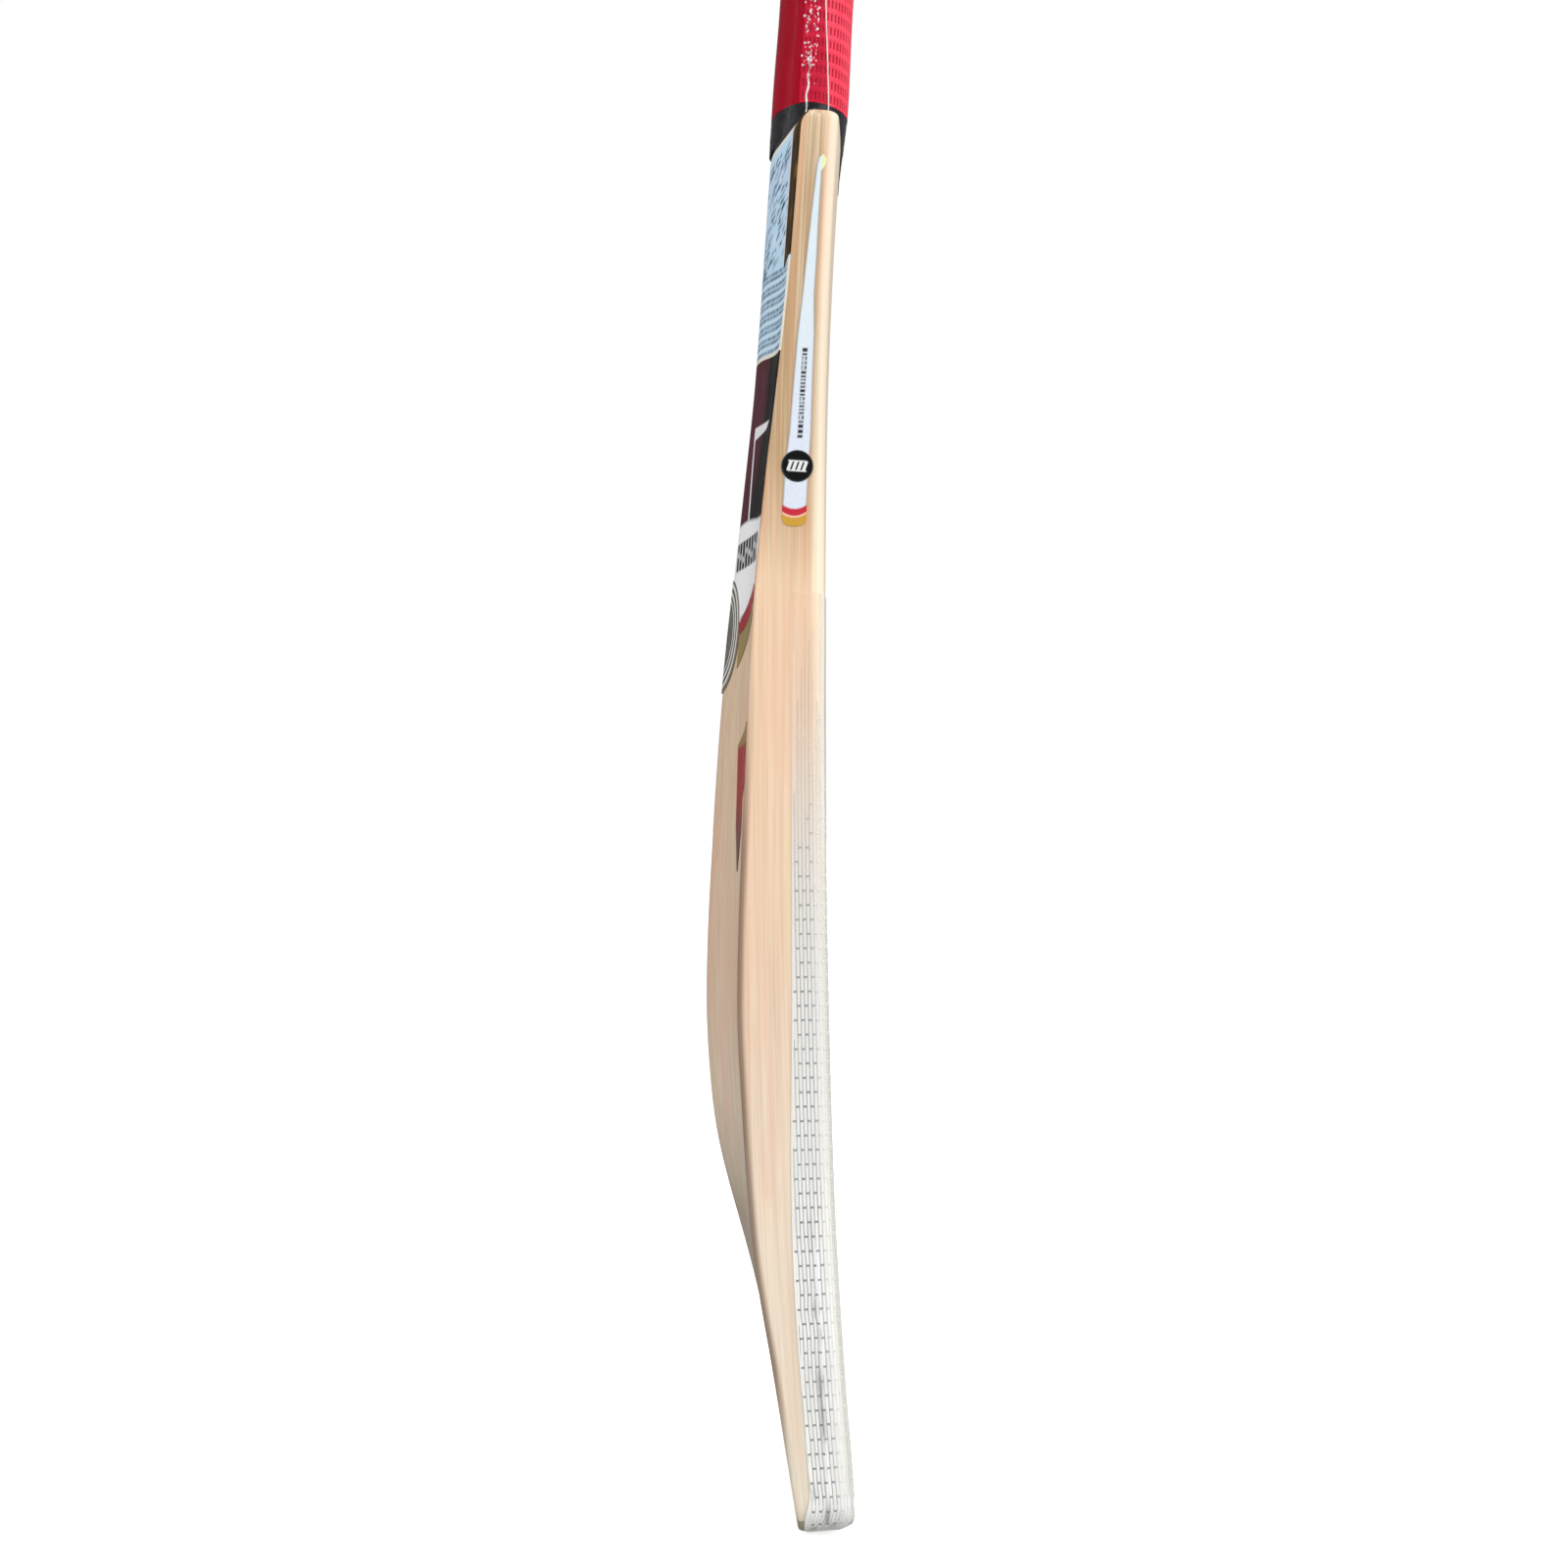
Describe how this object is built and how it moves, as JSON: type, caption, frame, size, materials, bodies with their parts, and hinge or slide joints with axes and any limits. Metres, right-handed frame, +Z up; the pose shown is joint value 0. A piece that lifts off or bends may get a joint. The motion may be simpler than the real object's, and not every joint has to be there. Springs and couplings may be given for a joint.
{
  "type": "cricket bat",
  "caption": "Cricket bat with a bowed willow blade, high spine and full edges, a spliced cane handle, a grooved rubber grip and a fibre-faced hitting side.",
  "frame": {"origin": "on the handle's axis, at the middle of the rubber grip, where the bat is held", "axes": "+Z up along the handle to its top, +Y from the flat hitting face to the spine side, +X to the right edge as seen from the face"},
  "size_m": [0.109, 0.0754, 0.8515],
  "materials": {
    "willow": "bare pressed willow, satin, with fine lengthwise grain",
    "cane": "bare cane, matte",
    "insert_rubber": "matte black rubber",
    "twine": "wound and glued cotton twine",
    "grip_rubber": "crimson rubber with rows of short upright grooves",
    "neck_band": "satin black band",
    "clear_film": "clear shrink film, glossy and creased",
    "facing_tape": "clear woven fibre facing, glossy",
    "edge_silver": "glossy silver-white sticker",
    "badge_black": "glossy black sticker",
    "label_blue": "glossy light blue label",
    "panel_black": "glossy black and silver sticker",
    "emblem": "glossy sticker of plain rings",
    "foil_red": "glossy red sticker",
    "foil_gold": "satin gold sticker",
    "foil_maroon": "glossy dark red and gold patch"
  },
  "bodies": {
    "root": {"blade": "willow", "cane_front_left": "cane", "cane_front_middle": "cane", "cane_front_right": "cane", "cane_inner_front_left": "cane", "cane_inner_front_middle": "cane", "cane_inner_front_right": "cane", "cane_inner_back_left": "cane", "cane_inner_back_middle": "cane", "cane_inner_back_right": "cane", "cane_back_left": "cane", "cane_back_middle": "cane", "cane_back_right": "cane", "rubber_insert_front": "insert_rubber", "rubber_insert_middle": "insert_rubber", "rubber_insert_back": "insert_rubber", "twine_binding": "twine", "rubber_grip": "grip_rubber", "neck_band": "neck_band", "grip_film": "clear_film", "facing_tape": "facing_tape", "edge_sticker_left": "edge_silver", "edge_sticker_right": "edge_silver", "edge_badge_left": "badge_black", "edge_badge_right": "badge_black", "shoulder_label": "label_blue", "main_sticker": "panel_black", "ring_emblem": "emblem", "red_swoosh_left": "foil_red", "red_swoosh_right": "foil_red", "gold_swoosh_left": "foil_gold", "gold_swoosh_right": "foil_gold", "flank_swoosh_left": "foil_maroon", "flank_swoosh_right": "foil_maroon"}
  },
  "joints": []
}
